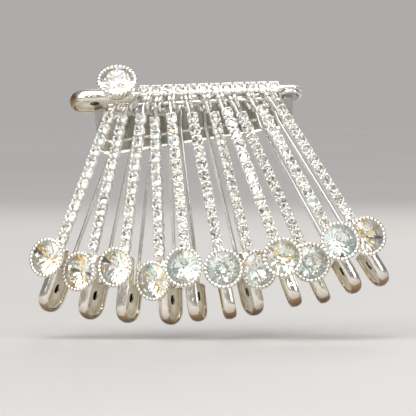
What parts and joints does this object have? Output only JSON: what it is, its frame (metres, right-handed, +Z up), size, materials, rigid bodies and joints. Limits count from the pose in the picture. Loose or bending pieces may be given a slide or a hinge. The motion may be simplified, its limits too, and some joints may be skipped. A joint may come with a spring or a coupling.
{
  "type": "rhinestone safety pin hair clip",
  "caption": "Barrette carrying a horizontal crystal safety pin, from whose needle a fan of matching crystal safety pins hangs by their coils.",
  "frame": {"origin": "middle of the space in which the barrette grips the hair", "axes": "+X along the clip towards the carrier pin's coil, +Y towards the head, +Z up as worn"},
  "size_m": [0.1059, 0.0372, 0.0767],
  "materials": {
    "silver_wire": "polished silver-coloured plating on spring wire",
    "needle_wire": "polished silver-coloured plating on spring wire, ground point",
    "cap_metal": "pressed sheet cap, bright plating with a warm tone",
    "crystals": "cut clear glass with a mirror back, in plated cups",
    "plate_metal": "polished plated sheet",
    "band_metal": "polished plated sheet, darker reflection",
    "clip_steel": "nickel-plated spring steel"
  },
  "bodies": {
    "root": {"cap_post": "plate_metal", "carrier_cap": "cap_metal", "carrier_needle": "needle_wire", "carrier_stones": "crystals", "carrier_wire": "silver_wire", "catch_block": "clip_steel", "clip_base": "clip_steel", "coil_post": "plate_metal", "face_plate": "plate_metal", "front_band": "band_metal", "hinge_pin": "clip_steel", "rivets": "clip_steel", "tension_bow": "clip_steel"},
    "clasp_arm": {"clasp_arm": "clip_steel"},
    "prong_upper": {"catch_prong_upper": "clip_steel"},
    "prong_lower": {"catch_prong_lower": "clip_steel"},
    "pin_a": {"pin_a_wire": "silver_wire", "pin_a_cap": "cap_metal", "pin_a_stones": "crystals"},
    "pin_a_needle": {"pin_a_needle": "needle_wire"},
    "pin_b": {"pin_b_wire": "silver_wire", "pin_b_cap": "cap_metal", "pin_b_stones": "crystals"},
    "pin_b_needle": {"pin_b_needle": "needle_wire"},
    "pin_c": {"pin_c_wire": "silver_wire", "pin_c_cap": "cap_metal", "pin_c_stones": "crystals"},
    "pin_c_needle": {"pin_c_needle": "needle_wire"},
    "pin_d": {"pin_d_wire": "silver_wire", "pin_d_cap": "cap_metal", "pin_d_stones": "crystals"},
    "pin_d_needle": {"pin_d_needle": "needle_wire"},
    "pin_e": {"pin_e_wire": "silver_wire", "pin_e_cap": "cap_metal", "pin_e_stones": "crystals"},
    "pin_e_needle": {"pin_e_needle": "needle_wire"},
    "pin_f": {"pin_f_wire": "silver_wire", "pin_f_cap": "cap_metal", "pin_f_stones": "crystals"},
    "pin_f_needle": {"pin_f_needle": "needle_wire"},
    "pin_g": {"pin_g_wire": "silver_wire", "pin_g_cap": "cap_metal", "pin_g_stones": "crystals"},
    "pin_g_needle": {"pin_g_needle": "needle_wire"},
    "pin_h": {"pin_h_wire": "silver_wire", "pin_h_cap": "cap_metal", "pin_h_stones": "crystals"},
    "pin_h_needle": {"pin_h_needle": "needle_wire"},
    "pin_i": {"pin_i_wire": "silver_wire", "pin_i_cap": "cap_metal", "pin_i_stones": "crystals"},
    "pin_i_needle": {"pin_i_needle": "needle_wire"},
    "pin_j": {"pin_j_wire": "silver_wire", "pin_j_cap": "cap_metal", "pin_j_stones": "crystals"},
    "pin_j_needle": {"pin_j_needle": "needle_wire"},
    "pin_k": {"pin_k_wire": "silver_wire", "pin_k_cap": "cap_metal", "pin_k_stones": "crystals"},
    "pin_k_needle": {"pin_k_needle": "needle_wire"}
  },
  "joints": [
    {"name": "pin_f_swing", "type": "hinge", "parent": "root", "child": "pin_f", "pos_m": [-0.001, -0.01175, 0.00516], "axis": [-0.999, 0.0083, -0.0445], "range_deg": [0, 12]},
    {"name": "pin_a_swing", "type": "hinge", "parent": "root", "child": "pin_a", "pos_m": [-0.0203, -0.01159, 0.0043], "axis": [-0.999, 0.0083, -0.0445], "range_deg": [0, 12]},
    {"name": "pin_b_swing", "type": "hinge", "parent": "root", "child": "pin_b", "pos_m": [-0.0166, -0.01162, 0.00447], "axis": [-0.999, 0.0083, -0.0445], "range_deg": [0, 12]},
    {"name": "pin_c_swing", "type": "hinge", "parent": "root", "child": "pin_c", "pos_m": [-0.012, -0.01166, 0.00467], "axis": [-0.999, 0.0083, -0.0445], "range_deg": [0, 12]},
    {"name": "pin_d_swing", "type": "hinge", "parent": "root", "child": "pin_d", "pos_m": [-0.0086, -0.01169, 0.00482], "axis": [-0.999, 0.0083, -0.0445], "range_deg": [0, 12]},
    {"name": "pin_e_swing", "type": "hinge", "parent": "root", "child": "pin_e", "pos_m": [-0.005, -0.01172, 0.00499], "axis": [-0.999, 0.0083, -0.0445], "range_deg": [0, 12]},
    {"name": "pin_g_swing", "type": "hinge", "parent": "root", "child": "pin_g", "pos_m": [0.0036, -0.01179, 0.00537], "axis": [-0.999, 0.0083, -0.0445], "range_deg": [0, 12]},
    {"name": "pin_h_swing", "type": "hinge", "parent": "root", "child": "pin_h", "pos_m": [0.0087, -0.01183, 0.0056], "axis": [-0.999, 0.0083, -0.0445], "range_deg": [0, 12]},
    {"name": "pin_i_swing", "type": "hinge", "parent": "root", "child": "pin_i", "pos_m": [0.0122, -0.01186, 0.00575], "axis": [-0.999, 0.0083, -0.0445], "range_deg": [0, 12]},
    {"name": "pin_j_swing", "type": "hinge", "parent": "root", "child": "pin_j", "pos_m": [0.0172, -0.0119, 0.00597], "axis": [-0.999, 0.0083, -0.0445], "range_deg": [0, 12]},
    {"name": "pin_k_swing", "type": "hinge", "parent": "root", "child": "pin_k", "pos_m": [0.0225, -0.01195, 0.00621], "axis": [-0.999, 0.0083, -0.0445], "range_deg": [0, 12]},
    {"name": "pin_a_needle_open", "type": "hinge", "parent": "pin_a", "child": "pin_a_needle", "pos_m": [-0.0203, -0.01159, 0.0043], "axis": [0.7775, -0.5592, -0.2876], "range_deg": [0, 8], "stiffness_Nm_per_rad": 0.02},
    {"name": "pin_b_needle_open", "type": "hinge", "parent": "pin_b", "child": "pin_b_needle", "pos_m": [-0.0166, -0.01162, 0.00447], "axis": [0.7901, -0.5878, -0.1737], "range_deg": [0, 8], "stiffness_Nm_per_rad": 0.02},
    {"name": "pin_c_needle_open", "type": "hinge", "parent": "pin_c", "child": "pin_c_needle", "pos_m": [-0.012, -0.01166, 0.00467], "axis": [0.8505, -0.5221, -0.0628], "range_deg": [0, 8], "stiffness_Nm_per_rad": 0.02},
    {"name": "pin_d_needle_open", "type": "hinge", "parent": "pin_d", "child": "pin_d_needle", "pos_m": [-0.00858, -0.01169, 0.00433], "axis": [0.8609, -0.5075, 0.0346], "range_deg": [0, 8], "stiffness_Nm_per_rad": 0.02},
    {"name": "pin_e_needle_open", "type": "hinge", "parent": "pin_e", "child": "pin_e_needle", "pos_m": [-0.005, -0.01172, 0.00499], "axis": [0.949, -0.2833, 0.1384], "range_deg": [0, 8], "stiffness_Nm_per_rad": 0.02},
    {"name": "pin_f_needle_open", "type": "hinge", "parent": "pin_f", "child": "pin_f_needle", "pos_m": [-0.00096, -0.01177, 0.00497], "axis": [0.9789, 0.08, 0.188], "range_deg": [0, 8], "stiffness_Nm_per_rad": 0.02},
    {"name": "pin_g_needle_open", "type": "hinge", "parent": "pin_g", "child": "pin_g_needle", "pos_m": [0.00365, -0.01178, 0.00517], "axis": [0.8729, 0.4321, 0.2268], "range_deg": [0, 8], "stiffness_Nm_per_rad": 0.02},
    {"name": "pin_h_needle_open", "type": "hinge", "parent": "pin_h", "child": "pin_h_needle", "pos_m": [0.0087, -0.01183, 0.0056], "axis": [0.939, 0.1062, 0.3272], "range_deg": [0, 8], "stiffness_Nm_per_rad": 0.02},
    {"name": "pin_i_needle_open", "type": "hinge", "parent": "pin_i", "child": "pin_i_needle", "pos_m": [0.01253, -0.01186, 0.00502], "axis": [0.9051, 0.0872, 0.4163], "range_deg": [0, 8], "stiffness_Nm_per_rad": 0.02},
    {"name": "pin_j_needle_open", "type": "hinge", "parent": "pin_j", "child": "pin_j_needle", "pos_m": [0.0173, -0.01193, 0.0058], "axis": [0.8526, 0.3026, 0.426], "range_deg": [0, 8], "stiffness_Nm_per_rad": 0.02},
    {"name": "pin_k_needle_open", "type": "hinge", "parent": "pin_k", "child": "pin_k_needle", "pos_m": [0.0225, -0.01195, 0.00621], "axis": [0.7966, 0.3339, 0.504], "range_deg": [0, 8], "stiffness_Nm_per_rad": 0.02},
    {"name": "clasp_arm_hinge", "type": "hinge", "parent": "root", "child": "clasp_arm", "pos_m": [-0.0249, 0.0036, -0.00386], "axis": [-0.153, 0, 0.9882], "range_deg": [0, 75]},
    {"name": "prong_upper_squeeze", "type": "hinge", "parent": "root", "child": "prong_upper", "pos_m": [0.02315, -0.00046, 0.0047], "axis": [-0.9882, 0, -0.153], "range_deg": [0, 7], "stiffness_Nm_per_rad": 0.02},
    {"name": "prong_lower_squeeze", "type": "hinge", "parent": "root", "child": "prong_lower", "pos_m": [0.02349, -0.00046, 0.00252], "axis": [0.9882, 0, 0.153], "range_deg": [0, 7], "stiffness_Nm_per_rad": 0.02}
  ],
  "couplings": [
    {"joint": "pin_a_swing", "follows": "pin_f_swing", "ratio": 1},
    {"joint": "pin_b_swing", "follows": "pin_f_swing", "ratio": 1},
    {"joint": "pin_c_swing", "follows": "pin_f_swing", "ratio": 1},
    {"joint": "pin_d_swing", "follows": "pin_f_swing", "ratio": 1},
    {"joint": "pin_e_swing", "follows": "pin_f_swing", "ratio": 1},
    {"joint": "pin_g_swing", "follows": "pin_f_swing", "ratio": 1},
    {"joint": "pin_h_swing", "follows": "pin_f_swing", "ratio": 1},
    {"joint": "pin_i_swing", "follows": "pin_f_swing", "ratio": 1},
    {"joint": "pin_j_swing", "follows": "pin_f_swing", "ratio": 1},
    {"joint": "pin_k_swing", "follows": "pin_f_swing", "ratio": 1}
  ]
}
